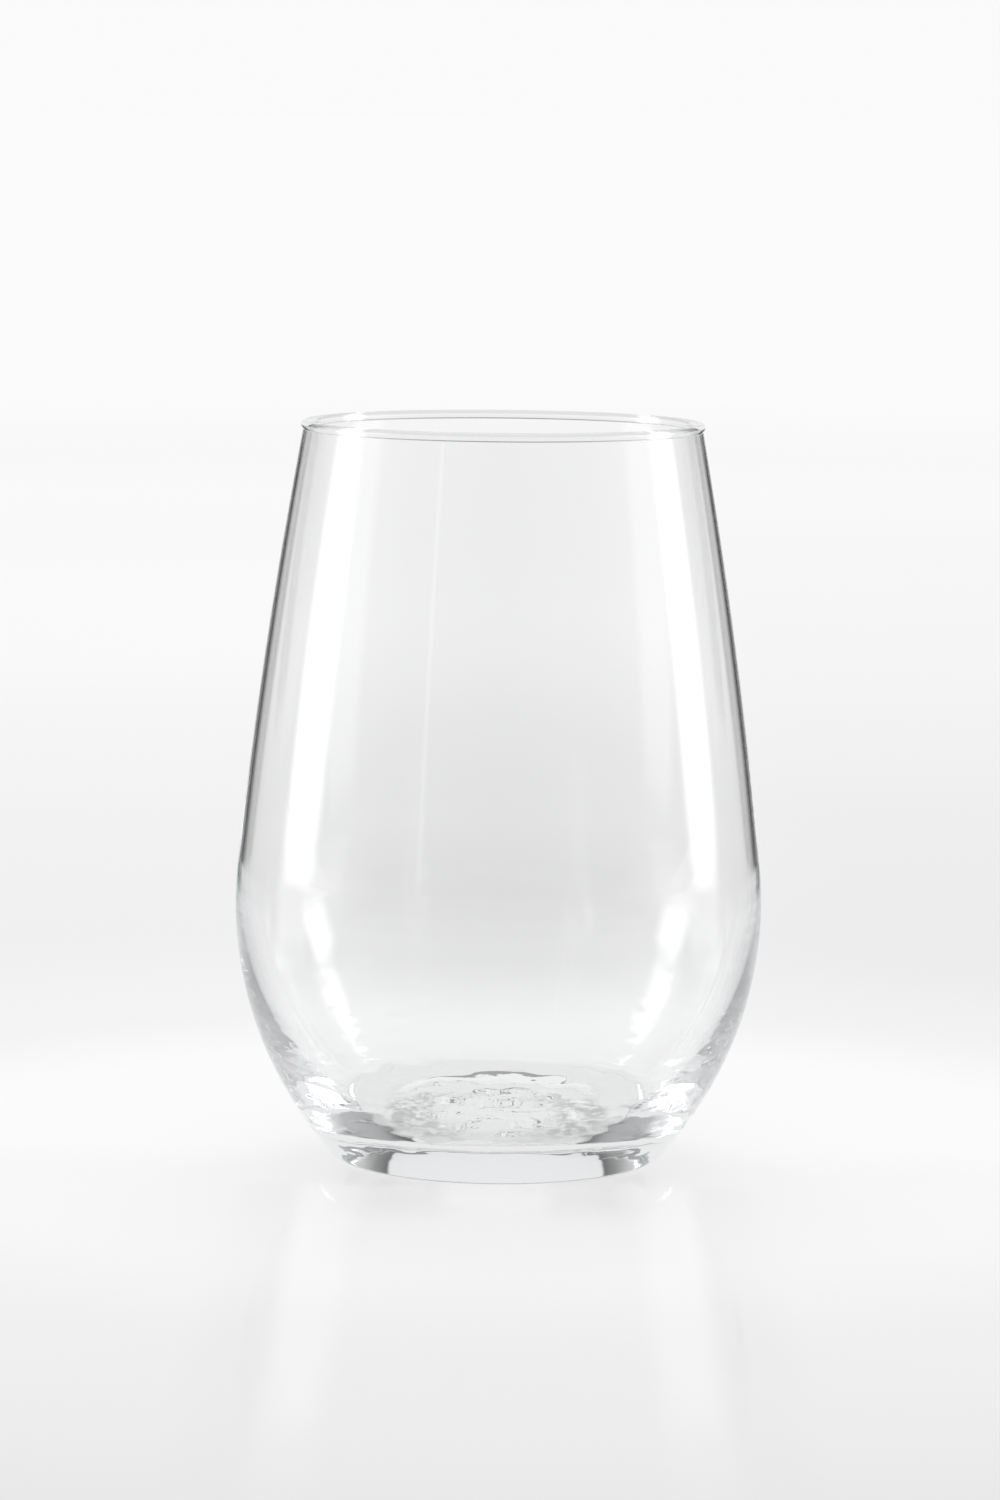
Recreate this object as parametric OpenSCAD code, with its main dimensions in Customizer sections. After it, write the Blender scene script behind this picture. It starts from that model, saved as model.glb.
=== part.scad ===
// Stemless wine glass: a thin tapered bowl that thickens into a heavy rounded base.
// The glass is one turned form. Its rim, side wall, lower bowl and base meet face to face.
// Millimetres, +Z up, origin at the centre of the foot, on the surface that the glass stands on.

/* [Bowl] */
// Height from the foot to the top of the rim
glass_height = 120.5; // [110:0.5:135]
// Diameter outside at the belly, the widest level
belly_diameter = 86; // [82:0.5:94]
// Height of the belly
belly_height = 42; // [38:0.5:48]
// Radius of the slight outward bow of the side wall
side_radius = 950; // [500:10:3000]

/* [Rim] */
// Diameter outside the rim bead
rim_diameter = 65.6; // [58:0.2:72]
// Thickness of the round rim bead
bead_thickness = 1.6; // [1.3:0.05:2.4]

/* [Foot] */
// Outside diameter of the flat ring that the glass stands on
foot_diameter = 52; // [46:0.5:58]
// Radius of the heel, where the bowl turns under to the foot
heel_radius = 1.5; // [0.75:0.25:4]
// Width of the flat ring, from its outside edge in to the hollow punt
ring_width = 8; // [3:0.5:11]
// Depth of the punt at its centre
punt_depth = 1.2; // [0.5:0.1:2.5]

/* [Inside] */
// Wall thickness just under the rim bead
rim_wall = 1; // [0.8:0.05:1.25]
// Wall thickness at the belly
belly_wall = 1.5; // [1.1:0.05:2.5]
// Height of the inside's widest level above the belly
inside_rise = 2; // [0:0.5:6]
// Thickness of the base under the inside's floor, punt included
base_thickness = 7; // [5:0.25:10]
// Distance in from the inside's widest level to the edge of the flat floor
floor_inset = 17.5; // [14:0.5:22]
// Radius of the corner where the floor turns up into the bowl
floor_corner = 4; // [2:0.5:8]

/* [Hidden] */
$fn = 180;
clear_glass = [0.86, 0.91, 0.9, 0.4];

bead_r = bead_thickness / 2;
// The bead is a round ring cut flat where it is as wide as the wall that carries it
bead_ring_r = rim_diameter / 2 - bead_r;
bead_ring_z = glass_height - bead_r;
bead_bottom_z = bead_ring_z - sqrt(bead_r ^ 2 - (rim_wall / 2) ^ 2);
// How far the straight steps of an arc may lie from the true arc
curve_tolerance = 0.005;

// An arc is its centre, radius, first angle and last angle, in the half section where x is the radius
function arc_points(arc) =
    let (
        turn = arc[3] - arc[2],
        steps = ceil(abs(turn) / (2 * acos(1 - curve_tolerance / arc[1])))
    )
    [for (i = [0 : steps]) let (a = arc[2] + turn * i / steps) arc[0] + arc[1] * [cos(a), sin(a)]];

function arc_end(arc) = arc[0] + arc[1] * [cos(arc[3]), sin(arc[3])];

function direction(from, to) = atan2(to[1] - from[1], to[0] - from[0]);

function backward(points) = [for (i = [len(points) - 1 : -1 : 0]) points[i]];

function but_first(points) = [for (i = [1 : len(points) - 1]) points[i]];

// Radius of the arc that stands upright at the belly and runs smoothly into the corner above the floor
function lower_arc_r(belly, floor_edge, corner) =
    let (across = belly[0] - floor_edge[0], down = belly[1] - floor_edge[1] - corner)
    (across ^ 2 + down ^ 2 - corner ^ 2) / (2 * (across - corner));

// Centre of the side arc that runs smoothly into the lower arc and ends at the rim
function side_centre(lower_c, lower_r, rim_edge) =
    let (
        line = rim_edge - lower_c,
        span = norm(line),
        along = ((side_radius - lower_r) ^ 2 - side_radius ^ 2 + span ^ 2) / (2 * span),
        aside = sqrt((side_radius - lower_r) ^ 2 - along ^ 2)
    )
    lower_c + (line * along + [-line[1], line[0]] * aside) / span;

// A smooth outline of three arcs from the floor up: corner, lower arc and side arc
function outline(rim_edge, belly, floor_edge, corner) =
    let (
        corner_c = floor_edge + [0, corner],
        lower_r = lower_arc_r(belly, floor_edge, corner),
        lower_c = [belly[0] - lower_r, belly[1]],
        side_c = side_centre(lower_c, lower_r, rim_edge),
        corner_a = direction(lower_c, corner_c),
        side_a = direction(side_c, lower_c)
    )
    [[corner_c, corner, -90, corner_a],
     [lower_c, lower_r, corner_a, side_a],
     [side_c, side_radius, side_a, direction(side_c, rim_edge)]];

belly = [belly_diameter / 2, belly_height];
outside = outline(
    [bead_ring_r + rim_wall / 2, bead_bottom_z],
    belly,
    [foot_diameter / 2, 0],
    heel_radius
);

inside_belly = belly + [-belly_wall, inside_rise];
inside = outline(
    [bead_ring_r - rim_wall / 2, bead_bottom_z],
    inside_belly,
    [inside_belly[0] - floor_inset, base_thickness],
    floor_corner
);

// The base ends on the level where the inside's floor corner runs into the bowl
base_top_z = arc_end(inside[0])[1];
lower_c = outside[1][0];
lower_r = outside[1][1];
base_top_a = asin((base_top_z - lower_c[1]) / lower_r);
base_side = [lower_c, lower_r, outside[1][2], base_top_a];
bowl_side = [lower_c, lower_r, base_top_a, outside[1][3]];

// The punt is a shallow dome from its centre out to the ring that the glass stands on
punt_edge_r = foot_diameter / 2 - ring_width;
punt_r = (punt_edge_r ^ 2 + punt_depth ^ 2) / (2 * punt_depth);
punt_c = [0, punt_depth - punt_r];
punt = [punt_c, punt_r, 90, direction(punt_c, [punt_edge_r, 0])];

module turned(points) {
    color(clear_glass) rotate_extrude() polygon(points);
}

module rim_bead() {
    color(clear_glass) rotate_extrude() difference() {
        translate([bead_ring_r, bead_ring_z]) circle(bead_r);
        translate([bead_ring_r - bead_r, bead_bottom_z - bead_r]) square([bead_thickness, bead_r]);
    }
}

module side_wall() {
    turned(concat(arc_points(outside[2]), backward(arc_points(inside[2]))));
}

module lower_bowl() {
    turned(concat(arc_points(bowl_side), backward(arc_points(inside[1]))));
}

module base() {
    turned(concat(
        arc_points(punt),
        arc_points(outside[0]),
        but_first(arc_points(base_side)),
        backward(arc_points(inside[0])),
        [[0, base_thickness]]
    ));
}

rim_bead();
side_wall();
lower_bowl();
base();
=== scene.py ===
import math

import bpy
from mathutils import Matrix


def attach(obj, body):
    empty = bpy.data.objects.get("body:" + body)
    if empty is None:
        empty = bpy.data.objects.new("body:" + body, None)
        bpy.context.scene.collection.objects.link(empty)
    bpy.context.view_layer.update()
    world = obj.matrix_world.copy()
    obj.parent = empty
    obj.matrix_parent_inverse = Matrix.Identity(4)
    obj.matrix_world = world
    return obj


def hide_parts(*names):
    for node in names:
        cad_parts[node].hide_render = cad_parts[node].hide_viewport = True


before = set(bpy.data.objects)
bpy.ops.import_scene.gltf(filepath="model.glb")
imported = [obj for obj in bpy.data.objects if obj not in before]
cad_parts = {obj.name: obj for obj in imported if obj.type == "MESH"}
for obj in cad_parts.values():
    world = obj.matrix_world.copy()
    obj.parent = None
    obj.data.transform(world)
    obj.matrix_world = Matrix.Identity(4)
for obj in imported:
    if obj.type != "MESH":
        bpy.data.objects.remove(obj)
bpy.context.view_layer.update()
millimetre = 0.001

scene = bpy.context.scene
scene.view_settings.view_transform = "Standard"
scene.cycles.max_bounces = 128            # light runs round inside the thick base many times
scene.cycles.glossy_bounces = 128
scene.cycles.transmission_bounces = 128
print("frame loaded:", ", ".join(sorted(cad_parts)))


# Puts nodes into one tree, of a shape, a material or the world
class NodeMaker:
    def __init__(self, tree):
        self.tree = tree

    def node(self, kind, **settings):
        made = self.tree.nodes.new(kind)
        for name, value in settings.items():
            setattr(made, name, value)
        return made

    # a socket is linked, a plain value is set
    def put(self, socket, value):
        if isinstance(value, bpy.types.NodeSocket):
            self.tree.links.new(value, socket)
        elif value is not None:
            socket.default_value = value

    def math(self, operation, first, second=None):
        made = self.node("ShaderNodeMath", operation=operation)
        self.put(made.inputs[0], first)
        self.put(made.inputs[1], second)
        return made.outputs[0]

    def product(self, first, *others):
        result = first
        for other in others:
            result = self.math("MULTIPLY", result, other)
        return result

    def squares(self, first, second):
        return self.math("ADD", self.product(first, first), self.product(second, second))

    def joined(self, x, y, z):
        made = self.node("ShaderNodeCombineXYZ")
        for socket, value in zip(made.inputs, (x, y, z)):
            self.put(socket, value)
        return made.outputs[0]

    def split(self, place):
        made = self.node("ShaderNodeSeparateXYZ")
        self.put(made.inputs[0], place)
        return made.outputs

    def coordinates(self, kind):
        return self.node("ShaderNodeTexCoord").outputs[kind]

    def ramp(self, value, stops, interpolation="EASE"):
        made = self.node("ShaderNodeValToRGB")
        made.color_ramp.interpolation = interpolation
        elements = made.color_ramp.elements
        while len(elements) < len(stops):
            elements.new(1)
        for element, (place, tone) in zip(elements, stops):
            element.position = place
            element.color = (tone, tone, tone, 1)
        self.put(made.inputs[0], value)
        return made.outputs["Color"]

    # 0 at the span's first value, 1 at its last
    def smooth(self, value, span):
        made = self.node("ShaderNodeMapRange", interpolation_type="SMOOTHSTEP")
        self.put(made.inputs["Value"], value)
        self.put(made.inputs["From Min"], span[0])
        self.put(made.inputs["From Max"], span[1])
        return made.outputs[0]

    def mixed(self, factor, first, second):
        made = self.node("ShaderNodeMix", data_type="FLOAT")
        for socket, value in zip((made.inputs[0], made.inputs[2], made.inputs[3]), (factor, first, second)):
            self.put(socket, value)
        return made.outputs[0]

    def mixedShader(self, factor, first, second):
        made = self.node("ShaderNodeMixShader")
        for socket, value in zip(made.inputs, (factor, first, second)):
            self.put(socket, value)
        return made.outputs[0]

    def addedShader(self, first, second):
        made = self.node("ShaderNodeAddShader")
        self.put(made.inputs[0], first)
        self.put(made.inputs[1], second)
        return made.outputs[0]

    # angle from +Y to either side, 0 to 1 for 0 to 180 degrees
    def sideAngle(self, x, y):
        return self.math("DIVIDE", self.math("ARCTAN2", self.math("ABSOLUTE", x), y), math.pi)

    # 1 for light that comes through the glass or off it
    def byGlass(self, paths):
        return self.math("MAXIMUM", paths["Is Glossy Ray"], paths["Is Transmission Ray"])

    # 1 for light that was mirrored on its way
    def mirrored(self, paths):
        return self.math("GREATER_THAN", paths["Glossy Depth"], 0.5)


def angleStops(stops):
    return [(angle / 180, tone) for angle, tone in stops]


# Clear glass

clearGlass = {
    "tint": (0.99, 0.991, 0.991, 1),
    "ior": 1.52,
    "roughness": 0.0,
    "absorbColour": (0.78, 0.86, 0.92, 1),
    "absorbDensity": 3.0,
}


def makeClearGlass(look):
    material = bpy.data.materials.new("clearGlass")
    material.use_nodes = True
    tree = material.node_tree
    shader = tree.nodes["Principled BSDF"]
    shader.inputs["Base Color"].default_value = look["tint"]
    shader.inputs["IOR"].default_value = look["ior"]
    shader.inputs["Transmission Weight"].default_value = 1
    shader.inputs["Roughness"].default_value = look["roughness"]
    absorb = tree.nodes.new("ShaderNodeVolumeAbsorption")
    absorb.inputs["Color"].default_value = look["absorbColour"]
    absorb.inputs["Density"].default_value = look["absorbDensity"]
    tree.links.new(absorb.outputs["Volume"], tree.nodes["Material Output"].inputs["Volume"])
    return material


glassMaterial = makeClearGlass(clearGlass)
print("glass material made")


# Turned glass body, lengths in millimetres as in the part's source

glassBody = {
    "height": 120.5,
    "bellyRadius": 43.0,
    "bellyHeight": 42.0,
    "sideRadius": 950.0,
    "rimRadius": 32.8,
    "beadRadius": 0.8,
    "footRadius": 26.0,
    "heelRadius": 1.5,
    "puntRadius": 18.0,
    "puntDepth": 1.2,
    "rimWall": 1.0,
    "bellyWall": 1.5,
    "insideRise": 2.0,
    "baseThickness": 7.0,
    "floorInset": 17.5,
    "floorCorner": 4.0,
    # faces round the glass, and steps along its section: corner, lower arc and side arc from the bottom up
    "segments": 288,
    "puntSteps": 44,
    "ringSteps": 5,
    "outsideSteps": (10, 90, 26),
    "beadSteps": 18,
    "insideSteps": (16, 80, 26),
    "floorSteps": 16,
    "rimCrowding": 2.2,            # the side's steps shorten towards the rim
    "mergeDistance": 0.002,        # points closer than this become one
    # fine level ripples round the outside of the heel, between the heights where they set in and fade out
    "rippleDepth": 0.2,
    "rippleFrom": (1.5, 3.5),
    "rippleUpTo": (26.0, 14.0),
    "rippleScale": 750.0,
    "rippleDetail": 2.0,
    "rippleStretch": (0.22, 0.22, 1),
    # chilled, grained skin of the punt, mostly in a mark that lies towards the front
    "grainDepth": 2.6,
    "grainScale": 240.0,
    "grainDetail": 3.0,
    "grainEdge": 1.5,              # width over which it sets in at the punt's edge
    "grainLimit": 0.95,            # share of the punt's own height that it may dip, clear of the table
    "markCentre": -7.0,
    "markAcross": 18.4,
    "markAlong": 11.2,
    "markSharpness": 8.0,
    "markOutside": 0.12,           # share of the grain beyond the mark
    "seed": 4.0,
}


# A power above 1 makes the steps shorter towards the arc's end
def arcPoints(centre, radius, startAngle, endAngle, steps, power=1):
    points = []
    for i in range(steps + 1):
        angle = startAngle + (endAngle - startAngle) * (1 - (1 - i / steps) ** power)
        points.append((centre[0] + radius * math.cos(angle), centre[1] + radius * math.sin(angle)))
    return points


def straightPoints(start, end, steps):
    return [(start[0] + (end[0] - start[0]) * i / steps, start[1] + (end[1] - start[1]) * i / steps)
            for i in range(steps + 1)]


# Three arcs that run into one another, from the floor edge up to the rim
def outlineArcs(rimEdge, belly, floorEdge, corner, sideRadius):
    cornerCentre = (floorEdge[0], floorEdge[1] + corner)
    across, down = belly[0] - cornerCentre[0], belly[1] - cornerCentre[1]
    lowerRadius = (across ** 2 + down ** 2 - corner ** 2) / (2 * (across - corner))
    cornerAngle = math.atan2(-down, lowerRadius - across)
    lower = (belly[0] - lowerRadius, belly[1])
    run, rise = rimEdge[0] - lower[0], rimEdge[1] - lower[1]
    span = math.hypot(run, rise)
    along = ((sideRadius - lowerRadius) ** 2 - sideRadius ** 2 + span ** 2) / (2 * span)
    aside = math.sqrt((sideRadius - lowerRadius) ** 2 - along ** 2)
    side = (lower[0] + (run * along - rise * aside) / span, lower[1] + (rise * along + run * aside) / span)
    sideAngle = math.atan2(lower[1] - side[1], lower[0] - side[0])
    rimAngle = math.atan2(rimEdge[1] - side[1], rimEdge[0] - side[0])
    return ((cornerCentre, corner, -math.pi / 2, cornerAngle),
            (lower, lowerRadius, cornerAngle, sideAngle),
            (side, sideRadius, sideAngle, rimAngle))


# Points up one side of the wall, from the floor edge to the rim
def wallPoints(arcs, steps, rimCrowding):
    points = []
    for arc, count, power in zip(arcs, steps, (1, 1, rimCrowding)):
        points += arcPoints(*arc, count, power)[1 if points else 0:]
    return points


def eased(value, span):
    return min(1, max(0, (value - span[0]) / (span[1] - span[0])))


# The half section as one chain of points from the punt's centre, round the outside, over the rim and
# down the inside to the floor's centre; each point also says how rippled and how grained it is
def glassSection(body):
    ringRadius = body["rimRadius"] - body["beadRadius"]
    ringHeight = body["height"] - body["beadRadius"]
    beadAngle = math.acos(body["rimWall"] / 2 / body["beadRadius"])
    beadBottom = ringHeight - body["beadRadius"] * math.sin(beadAngle)
    insideRadius = body["bellyRadius"] - body["bellyWall"]
    insideBelly = (insideRadius, body["bellyHeight"] + body["insideRise"])
    floorEdge = (insideRadius - body["floorInset"], body["baseThickness"])
    outside = outlineArcs((ringRadius + body["rimWall"] / 2, beadBottom),
                          (body["bellyRadius"], body["bellyHeight"]),
                          (body["footRadius"], 0), body["heelRadius"], body["sideRadius"])
    inside = outlineArcs((ringRadius - body["rimWall"] / 2, beadBottom), insideBelly, floorEdge,
                         body["floorCorner"], body["sideRadius"])
    depth = body["puntDepth"]
    domeRadius = (body["puntRadius"] ** 2 + depth ** 2) / (2 * depth)
    domeEdge = math.asin(body["puntRadius"] / domeRadius)
    punt = arcPoints((0, depth - domeRadius), domeRadius, math.pi / 2, math.pi / 2 - domeEdge,
                     body["puntSteps"])
    ring = straightPoints((body["puntRadius"], 0), (body["footRadius"], 0), body["ringSteps"])
    outsideWall = wallPoints(outside, body["outsideSteps"], body["rimCrowding"])
    bead = arcPoints((ringRadius, ringHeight), body["beadRadius"], -beadAngle, math.pi + beadAngle,
                     body["beadSteps"])
    insideWall = wallPoints(inside, body["insideSteps"], body["rimCrowding"])[::-1]
    floor = straightPoints(floorEdge, (0, body["baseThickness"]), body["floorSteps"])
    chain = punt + ring[1:] + outsideWall[1:] + bead[1:] + insideWall[1:] + floor[1:]
    outsideCount = len(chain) - len(insideWall[1:] + floor[1:])
    grainSpan = (body["puntRadius"], body["puntRadius"] - body["grainEdge"])
    ripple, grain = [], []
    for i, (radius, height) in enumerate(chain):
        heel = eased(height, body["rippleUpTo"]) * eased(height, body["rippleFrom"])
        ripple.append(heel if i < outsideCount else 0)
        grain.append(eased(radius, grainSpan) if i < len(punt) else 0)
    return chain, ripple, grain


# Node tree that turns the section about +Z and works its surface
def makeTurnedTree(body):
    tree = bpy.data.node_groups.new("turnedGlass", "GeometryNodeTree")
    face = tree.interface
    face.new_socket("Section", in_out="INPUT", socket_type="NodeSocketGeometry")
    face.new_socket("Segments", in_out="INPUT", socket_type="NodeSocketInt")
    for name in ("Ripple Depth", "Grain Depth", "Mark Centre", "Mark Across", "Mark Along", "Mark Outside",
                 "Seed"):
        face.new_socket(name, in_out="INPUT", socket_type="NodeSocketFloat")
    face.new_socket("Material", in_out="INPUT", socket_type="NodeSocketMaterial")
    face.new_socket("Glass", in_out="OUTPUT", socket_type="NodeSocketGeometry")
    make = NodeMaker(tree)
    given, end = make.node("NodeGroupInput").outputs, make.node("NodeGroupOutput")

    # noise about 0, half up and half down
    def noise(place, scale, detail):
        made = make.node("ShaderNodeTexNoise", noise_dimensions="4D")
        make.put(made.inputs["Vector"], place)
        make.put(made.inputs["W"], given["Seed"])
        make.put(made.inputs["Scale"], scale)
        make.put(made.inputs["Detail"], detail)
        return make.math("SUBTRACT", made.outputs[0], 0.5)

    # what the section says at its own point of that number
    def fromSection(value, kind, index):
        made = make.node("GeometryNodeSampleIndex", data_type=kind, domain="POINT")
        make.put(made.inputs["Geometry"], given["Section"])
        make.put(made.inputs["Value"], value)
        make.put(made.inputs["Index"], index)
        return made.outputs["Value"]

    def amount(name, index):
        made = make.node("GeometryNodeInputNamedAttribute", data_type="FLOAT")
        make.put(made.inputs["Name"], name)
        return fromSection(made.outputs["Attribute"], "FLOAT", index)

    # a grid with a row for each point of the section and a column for each turn
    size = make.node("GeometryNodeAttributeDomainSize")
    make.put(size.inputs["Geometry"], given["Section"])
    columns = make.math("ADD", given["Segments"], 1)
    grid = make.node("GeometryNodeMeshGrid")
    make.put(grid.inputs["Vertices X"], size.outputs["Point Count"])
    make.put(grid.inputs["Vertices Y"], columns)
    index = make.node("GeometryNodeInputIndex").outputs[0]
    row = make.math("FLOOR", make.math("DIVIDE", make.math("ADD", index, 0.5), columns))
    column = make.math("SUBTRACT", index, make.product(row, columns))
    angle = make.product(make.math("DIVIDE", column, given["Segments"]), 2 * math.pi)
    position = make.node("GeometryNodeInputPosition").outputs[0]
    place = make.split(fromSection(position, "FLOAT_VECTOR", row))
    radius, height = place[0], place[2]
    east, north = make.math("COSINE", angle), make.math("SINE", angle)
    x, y = make.product(radius, east), make.product(radius, north)
    plain = make.joined(x, y, height)

    # ripples in and out along the radius
    stretched = make.node("ShaderNodeVectorMath", operation="MULTIPLY")
    make.put(stretched.inputs[0], plain)
    make.put(stretched.inputs[1], body["rippleStretch"])
    rippleNoise = noise(stretched.outputs[0], body["rippleScale"], body["rippleDetail"])
    rippled = make.product(rippleNoise, amount("ripple", row), given["Ripple Depth"], millimetre)
    newRadius = make.math("ADD", radius, rippled)

    # grain up and down under the base, full inside an oval mark
    markX = make.math("DIVIDE", make.math("DIVIDE", x, millimetre), given["Mark Across"])
    fromCentre = make.math("SUBTRACT", make.math("DIVIDE", y, millimetre), given["Mark Centre"])
    markReach = make.squares(markX, make.math("DIVIDE", fromCentre, given["Mark Along"]))
    within = make.product(make.math("SUBTRACT", 1, markReach), body["markSharpness"])
    mark = make.math("MAXIMUM", make.math("MINIMUM", within, 1), given["Mark Outside"])
    grainNoise = noise(plain, body["grainScale"], body["grainDetail"])
    grain = make.product(grainNoise, amount("grain", row), mark, given["Grain Depth"], millimetre)
    grain = make.math("MAXIMUM", grain, make.product(height, -body["grainLimit"]))

    turned = make.joined(make.product(newRadius, east), make.product(newRadius, north),
                         make.math("ADD", height, grain))
    setPlace = make.node("GeometryNodeSetPosition")
    make.put(setPlace.inputs["Geometry"], grid.outputs["Mesh"])
    make.put(setPlace.inputs["Position"], turned)
    merge = make.node("GeometryNodeMergeByDistance")         # closes the seam and both centres
    make.put(merge.inputs["Geometry"], setPlace.outputs[0])
    make.put(merge.inputs["Distance"], body["mergeDistance"] * millimetre)
    flip = make.node("GeometryNodeFlipFaces")
    make.put(flip.inputs["Mesh"], merge.outputs[0])
    shadeSmooth = make.node("GeometryNodeSetShadeSmooth")
    make.put(shadeSmooth.inputs["Geometry"], flip.outputs[0])
    realize = make.node("GeometryNodeRealizeInstances")
    make.put(realize.inputs["Geometry"], shadeSmooth.outputs[0])
    setMaterial = make.node("GeometryNodeSetMaterial")
    make.put(setMaterial.inputs["Geometry"], realize.outputs[0])
    make.put(setMaterial.inputs["Material"], given["Material"])
    make.put(end.inputs["Glass"], setMaterial.outputs[0])
    return tree


def makeGlass(body, material):
    chain, ripple, grain = glassSection(body)
    section = bpy.data.meshes.new("glassSection")
    section.from_pydata([(radius * millimetre, 0, height * millimetre) for radius, height in chain],
                        [(i, i + 1) for i in range(len(chain) - 1)], [])
    for name, amounts in (("ripple", ripple), ("grain", grain)):
        section.attributes.new(name, "FLOAT", "POINT").data.foreach_set("value", amounts)
    maker = bpy.data.objects.new("glassMaker", section)
    scene.collection.objects.link(maker)
    modifier = maker.modifiers.new("turn", "NODES")
    modifier.node_group = makeTurnedTree(body)
    values = {"Segments": body["segments"],
              "Ripple Depth": body["rippleDepth"], "Grain Depth": body["grainDepth"],
              "Mark Centre": body["markCentre"], "Mark Across": body["markAcross"],
              "Mark Along": body["markAlong"], "Mark Outside": body["markOutside"],
              "Seed": body["seed"], "Material": material}
    for socket in modifier.node_group.interface.items_tree:
        if socket.in_out == "INPUT" and socket.name in values:
            modifier[socket.identifier] = values[socket.name]
    made = bpy.data.meshes.new_from_object(maker.evaluated_get(bpy.context.evaluated_depsgraph_get()))
    bpy.data.objects.remove(maker)
    made.name = "wineGlass"
    glass = bpy.data.objects.new("wineGlass", made)
    scene.collection.objects.link(glass)
    return glass


glass = makeGlass(glassBody, glassMaterial)
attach(glass, "root")
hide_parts("rim_bead", "side_wall", "lower_bowl", "base")
print("glass turned:", len(glass.data.polygons), "faces")


# Pale table, in metres: the camera sees its own tones, with a painted shadow, pool of light and glints before
# the foot, and the glass sees tones of its own, with painted shade under the foot and painted glare of the
# panels

table = {
    "radius": 60.0,
    "sides": 96,
    # tone by the distance from the glass, as the camera sees it
    "tone": [(0.0, 0.94), (0.09, 0.937), (0.155, 0.86), (0.25, 0.83), (0.42, 0.834), (0.6, 0.855),
             (0.83, 0.881), (1.15, 0.895), (1.6, 0.933), (2.4, 0.974), (4.0, 0.974)],
    "toneReach": 4.0,
    "frontFade": [(0.0, 1.0), (0.14, 1.0), (0.28, 0.92)],
    "frontFadeReach": (1.4, 0.5),
    # slightly darker to the right, behind the glass
    "rightShade": 0.035,
    "rightAcross": (0.0, 0.09),
    "rightBehind": (0.08, 0.2),
    "rightFar": (1.6, 0.8),
    # by the distance from the middle: painted shadow and a painted pool of light just before the foot, then
    # painted caustic glints, with painted shade beside them, that run forward
    "middleReach": 0.05,
    "paintedFootShadeAndLight": [(0.0, 1.035), (0.006, 1.03), (0.011, 0.95), (0.018, 0.92), (0.023, 0.96), (0.028, 1.0)],
    "paintedFootShadeAndLightAlong": ((-0.062, -0.036), (0.0, -0.02)),
    "paintedFootGlints": [(0.0, 1.0), (0.02, 1.0), (0.025, 1.04), (0.029, 1.04), (0.033, 0.975), (0.037, 0.975),
                   (0.045, 1.0)],
    "paintedFootGlintsAlong": ((-0.02, -0.034), (-0.25, -0.14)),
    # tone by the distance from the glass, as the glass sees it, with a painted shadow under the foot's ring
    "throughTone": [(0.0, 0.95), (0.011, 0.95), (0.0165, 0.84), (0.025, 0.84), (0.029, 0.95), (0.06, 0.95),
                    (0.15, 0.785), (0.3, 0.75), (0.42, 0.765), (0.95, 0.865), (2.2, 0.95), (4.0, 0.98)],
    # painted flecked shadow on the table under the edge of the chill mark, deepest at its sides
    "markCentre": -0.006,
    "markSize": (0.0155, 0.0105),
    "markShadowDepth": 0.42,
    "markEdge": 0.95,
    "markEdgeWidth": (0.36, 0.16),
    "markSides": (0.1, 0.9),
    "fleckScale": 520.0,
    "fleckDetail": 3.0,
    "fleckSpan": (0.4, 0.56),
    # further off, tones by the angle at the glass's side, then painted glare: a painted pool of the panels'
    # light on the table, shown where the glass mirrors it
    "glassSide": 0.06,
    "sideTones": [(0, 1.0), (10, 1.0), (12, 0.2), (13.5, 0.04), (22.5, 0.04), (24.5, 0.62), (34, 0.64),
                  (45, 0.75), (62, 0.78), (70, 1.0), (110, 1.0), (120, 0.6), (180, 0.6)],
    "sideTonesFrom": (0.3, 0.39),
    "paintedGlare": [(0, 1.0), (66, 1.0), (73, 1.9), (94, 1.9), (102, 1.0), (180, 1.0)],
    "paintedGlareFrom": (0.12, 0.156),
    "litShare": 0.12,              # share of the tone that comes from the lamps, so the glass leaves a shadow
    "bounceTone": 0.8,
    # polish just before the glass
    "gloss": 0.1,
    "glossRoughness": 0.06,
    "glossReach": (0.22, 0.1),
    "glossFront": (0.01, -0.02),
}


def reachStops(stops, span):
    return [(math.sqrt(reach / span), tone) for reach, tone in stops]


def tableCameraTone(make, look, x, y, reach, rootReach):
    tone = make.ramp(rootReach, reachStops(look["tone"], look["toneReach"]))
    front = make.ramp(make.product(y, -1), look["frontFade"], "LINEAR")
    front = make.mixed(make.smooth(reach, look["frontFadeReach"]), 1.0, front)
    behind = make.product(make.smooth(y, look["rightBehind"]), make.smooth(y, look["rightFar"]))
    rightShade = make.product(make.smooth(x, look["rightAcross"]), behind, look["rightShade"])
    tone = make.product(tone, front, make.math("SUBTRACT", 1, rightShade))
    fromMiddle = make.math("DIVIDE", make.math("ABSOLUTE", x), look["middleReach"])
    # painted shadow, pool of light and glints on the table before the foot, for the camera only
    for name in ("paintedFootShadeAndLight", "paintedFootGlints"):
        stops = [(distance / look["middleReach"], level) for distance, level in look[name]]
        patch = make.ramp(fromMiddle, stops)
        first, last = look[name + "Along"]
        along = make.product(make.smooth(y, first), make.smooth(y, last))
        tone = make.product(tone, make.mixed(along, 1.0, patch))
    return tone


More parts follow.
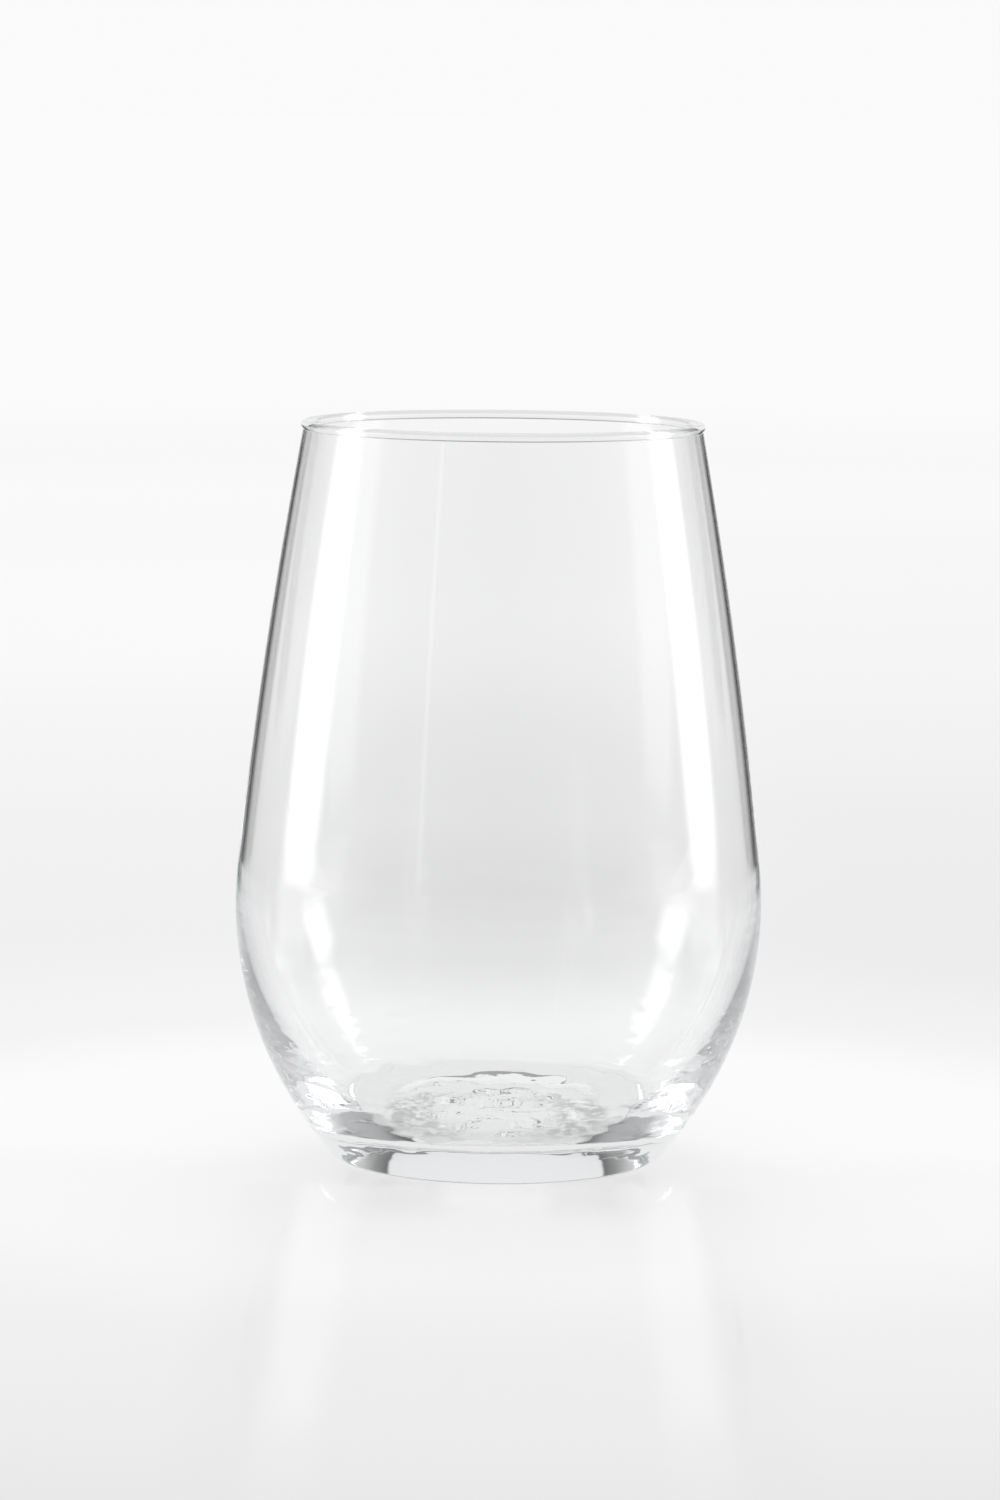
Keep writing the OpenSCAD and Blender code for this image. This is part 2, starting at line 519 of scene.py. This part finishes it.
# painted flecked shadow on the table under the glass's chill mark, seen through the glass
def tableMarkShade(make, look, place, x, y):
    markX = make.math("DIVIDE", x, look["markSize"][0])
    markY = make.math("DIVIDE", make.math("SUBTRACT", y, look["markCentre"]), look["markSize"][1])
    fromEdge = make.math("SUBTRACT", make.math("SQRT", make.squares(markX, markY)), look["markEdge"])
    edge = make.smooth(make.math("ABSOLUTE", fromEdge), look["markEdgeWidth"])
    side = make.smooth(make.math("ABSOLUTE", markX), look["markSides"])
    fleck = make.node("ShaderNodeTexNoise")
    make.put(fleck.inputs["Vector"], place)
    make.put(fleck.inputs["Scale"], look["fleckScale"])
    make.put(fleck.inputs["Detail"], look["fleckDetail"])
    depth = make.product(edge, side, make.smooth(fleck.outputs[0], look["fleckSpan"]), look["markShadowDepth"])
    return make.math("SUBTRACT", 1, depth)


def tableGlassTone(make, look, x, y, reach, rootReach, paths):
    tone = make.ramp(rootReach, reachStops(look["throughTone"], look["toneReach"]))
    outwards = make.math("MAXIMUM", make.math("SUBTRACT", make.math("ABSOLUTE", x), look["glassSide"]), 0)
    angle = make.sideAngle(outwards, y)
    sides = make.ramp(angle, angleStops(look["sideTones"]), "LINEAR")
    # painted pool of the panels' light on the table, only for light that was mirrored on its way
    paintedGlare = make.ramp(angle, angleStops(look["paintedGlare"]), "LINEAR")
    paintedGlareShare = make.product(make.smooth(reach, look["paintedGlareFrom"]), make.mirrored(paths))
    return make.product(tone, make.mixed(make.smooth(reach, look["sideTonesFrom"]), 1.0, sides),
                        make.mixed(paintedGlareShare, 1.0, paintedGlare))


def makePaleTable(look):
    material = bpy.data.materials.new("paleTable")
    material.use_nodes = True
    make = NodeMaker(material.node_tree)
    make.tree.nodes.clear()
    place = make.coordinates("Object")
    x, y = make.split(place)[:2]
    reach = make.math("SQRT", make.squares(x, y))
    rootReach = make.math("SQRT", make.math("DIVIDE", reach, look["toneReach"]))
    paths = make.node("ShaderNodeLightPath").outputs
    byGlass = make.byGlass(paths)
    cameraTone = tableCameraTone(make, look, x, y, reach, rootReach)
    glassTone = make.product(tableGlassTone(make, look, x, y, reach, rootReach, paths),
                             tableMarkShade(make, look, place, x, y))
    shade = make.mixed(byGlass, cameraTone, glassTone)
    glow = make.node("ShaderNodeEmission")
    make.put(glow.inputs["Color"], shade)
    glow.inputs["Strength"].default_value = 1 - look["litShare"]
    matt = make.node("ShaderNodeBsdfDiffuse")
    make.put(matt.inputs["Color"], make.product(shade, look["litShare"]))
    bounce = make.node("ShaderNodeBsdfDiffuse")
    bounce.inputs["Color"].default_value = (look["bounceTone"], look["bounceTone"], look["bounceTone"], 1)
    polish = make.node("ShaderNodeBsdfGlossy")
    polish.inputs["Roughness"].default_value = look["glossRoughness"]
    seen = make.mixedShader(make.math("MAXIMUM", byGlass, paths["Is Camera Ray"]), bounce.outputs[0],
                            make.addedShader(glow.outputs[0], matt.outputs[0]))
    before = make.product(make.smooth(reach, look["glossReach"]), make.smooth(y, look["glossFront"]))
    polished = make.mixedShader(make.product(paths["Is Camera Ray"], before, look["gloss"]), seen,
                                polish.outputs[0])
    make.put(make.node("ShaderNodeOutputMaterial").inputs["Surface"], polished)
    return material


def makeTable(look):
    mesh = bpy.data.meshes.new("table")
    radius = look["radius"]
    turns = [2 * math.pi * i / look["sides"] for i in range(look["sides"])]
    mesh.from_pydata([(radius * math.cos(turn), radius * math.sin(turn), 0) for turn in turns],
                     [], [list(range(look["sides"]))])
    mesh.materials.append(makePaleTable(look))
    top = bpy.data.objects.new("table", mesh)
    scene.collection.objects.link(top)


makeTable(table)


# Studio round the table: plain for the camera, and by direction for the glass

studio = {
    "farTone": 0.957,
    "fill": 0.9,
    # tones by the angle from the back wall: low down, then higher up, with the steepness where one gives way
    "lowRoom": [(0, 0.92), (15, 0.92), (24, 0.6), (34, 0.62), (45, 0.72), (62, 0.75), (75, 0.9), (105, 0.9),
                (130, 0.45), (180, 0.3)],
    "highRoom": [(0, 0.88), (27.3, 0.88), (28.3, 0.05), (30, 0.12), (33, 0.2), (36, 0.34), (40, 0.4),
                 (47, 0.45), (56, 0.5), (63, 0.75), (70, 0.9), (100, 0.9), (130, 0.5), (180, 0.3)],
    "highRoomFrom": (0.035, 0.09),
    "ceilingTone": 0.2,
    "ceilingFrom": (0.36, 0.55),
}


def makeStudio(look):
    world = bpy.data.worlds.new("studio")
    world.use_nodes = True
    make = NodeMaker(world.node_tree)
    x, y, up = make.split(make.coordinates("Generated"))
    angle = make.sideAngle(x, y)
    low = make.ramp(angle, angleStops(look["lowRoom"]))
    high = make.ramp(angle, angleStops(look["highRoom"]), "LINEAR")
    room = make.mixed(make.smooth(up, look["highRoomFrom"]), low, high)
    glassTone = make.mixed(make.smooth(up, look["ceilingFrom"]), room, look["ceilingTone"])
    paths = make.node("ShaderNodeLightPath").outputs
    plainTone = make.mixed(paths["Is Camera Ray"], look["fill"], look["farTone"])
    tone = make.mixed(make.byGlass(paths), plainTone, glassTone)
    make.put(make.tree.nodes["Background"].inputs["Color"], tone)
    scene.world = world


makeStudio(studio)
print("table and studio set")


# Soft light panels, which show only where the glass mirrors them: angle from the back wall, then metres.
# The glow sets in from low to full, and fades out from fall to high

panels = {
    "leftPanel": {"angle": -82.5, "distance": 0.9, "width": 0.44, "core": 0.3,
                  "low": 0.0, "full": 0.1, "fall": 0.2, "high": 0.32, "glow": 5.0},
    "rightPanel": {"angle": 78.0, "distance": 0.9, "width": 0.40, "core": 0.3,
                   "low": 0.0, "full": 0.1, "fall": 0.2, "high": 0.32, "glow": 5.0},
    "frontStrip": {"angle": -145.5, "distance": 0.9, "width": 0.045, "core": 0.4,
                   "low": 0.0, "full": 0.1, "fall": 0.5, "high": 0.9, "glow": 0.5},
    "frontCard": {"angle": 143.0, "distance": 0.3, "width": 0.03, "core": 0.3,
                  "low": 0.0, "full": 0.02, "fall": 0.03, "high": 0.06, "glow": 0.7},
}
topLamp = {"height": 1.1, "back": 0.9, "size": 0.8, "power": 12.0}


def makePanelGlow(name, panel):
    material = bpy.data.materials.new(name)
    material.use_nodes = True
    make = NodeMaker(material.node_tree)
    make.tree.nodes.clear()
    place = make.split(make.coordinates("Object"))
    across = make.math("DIVIDE", make.math("ABSOLUTE", place["X"]), panel["width"] / 2)
    core = make.smooth(across, (1, panel["core"]))
    rise = make.smooth(place["Z"], (panel["low"], panel["full"]))
    fall = make.smooth(place["Z"], (panel["high"], panel["fall"]))
    mirrored = make.mirrored(make.node("ShaderNodeLightPath").outputs)
    glow = make.node("ShaderNodeEmission")
    make.put(glow.inputs["Strength"], make.product(core, rise, fall, mirrored, panel["glow"]))
    clear = make.node("ShaderNodeBsdfTransparent")
    both = make.addedShader(glow.outputs[0], clear.outputs[0])
    make.put(make.node("ShaderNodeOutputMaterial").inputs["Surface"], both)
    return material


def makePanel(name, panel):
    half = panel["width"] / 2
    mesh = bpy.data.meshes.new(name)
    mesh.from_pydata([(-half, 0, panel["low"]), (half, 0, panel["low"]),
                      (half, 0, panel["high"]), (-half, 0, panel["high"])], [], [(0, 1, 2, 3)])
    mesh.materials.append(makePanelGlow(name, panel))
    board = bpy.data.objects.new(name, mesh)
    scene.collection.objects.link(board)
    angle = math.radians(panel["angle"])
    board.location = (panel["distance"] * math.sin(angle), panel["distance"] * math.cos(angle), 0)
    board.rotation_euler = (0, 0, -angle)
    board.visible_camera = False
    board.visible_diffuse = False
    board.visible_shadow = False


def makeTopLamp(setup):
    light = bpy.data.lights.new("topLamp", "AREA")
    light.size = setup["size"]
    light.energy = setup["power"]
    lamp = bpy.data.objects.new("topLamp", light)
    scene.collection.objects.link(lamp)
    lamp.location = (0, setup["back"], setup["height"])
    lamp.rotation_euler.x = -math.atan2(setup["back"], setup["height"])
    lamp.visible_camera = lamp.visible_glossy = lamp.visible_transmission = False


for name, panel in panels.items():
    makePanel(name, panel)
makeTopLamp(topLamp)


# Camera at the photograph's place: metres, degrees, and millimetres for the lens

view = {
    "place": (0.0, -0.870, 0.1718),
    "down": 6.882,
    "roll": 0.59,
    "lens": 128.85,
    "sensor": 36,
    "clip": (0.01, 200),
}


def makeCamera(look):
    data = bpy.data.cameras.new("photoCamera")
    data.sensor_width = look["sensor"]
    data.lens = look["lens"]
    data.clip_start, data.clip_end = look["clip"]
    camera = bpy.data.objects.new("photoCamera", data)
    scene.collection.objects.link(camera)
    camera.location = look["place"]
    tilt = Matrix.Rotation(math.radians(90 - look["down"]), 4, "X")
    camera.rotation_euler = (tilt @ Matrix.Rotation(math.radians(look["roll"]), 4, "Z")).to_euler()
    scene.camera = camera


makeCamera(view)
print("lamps and camera set")
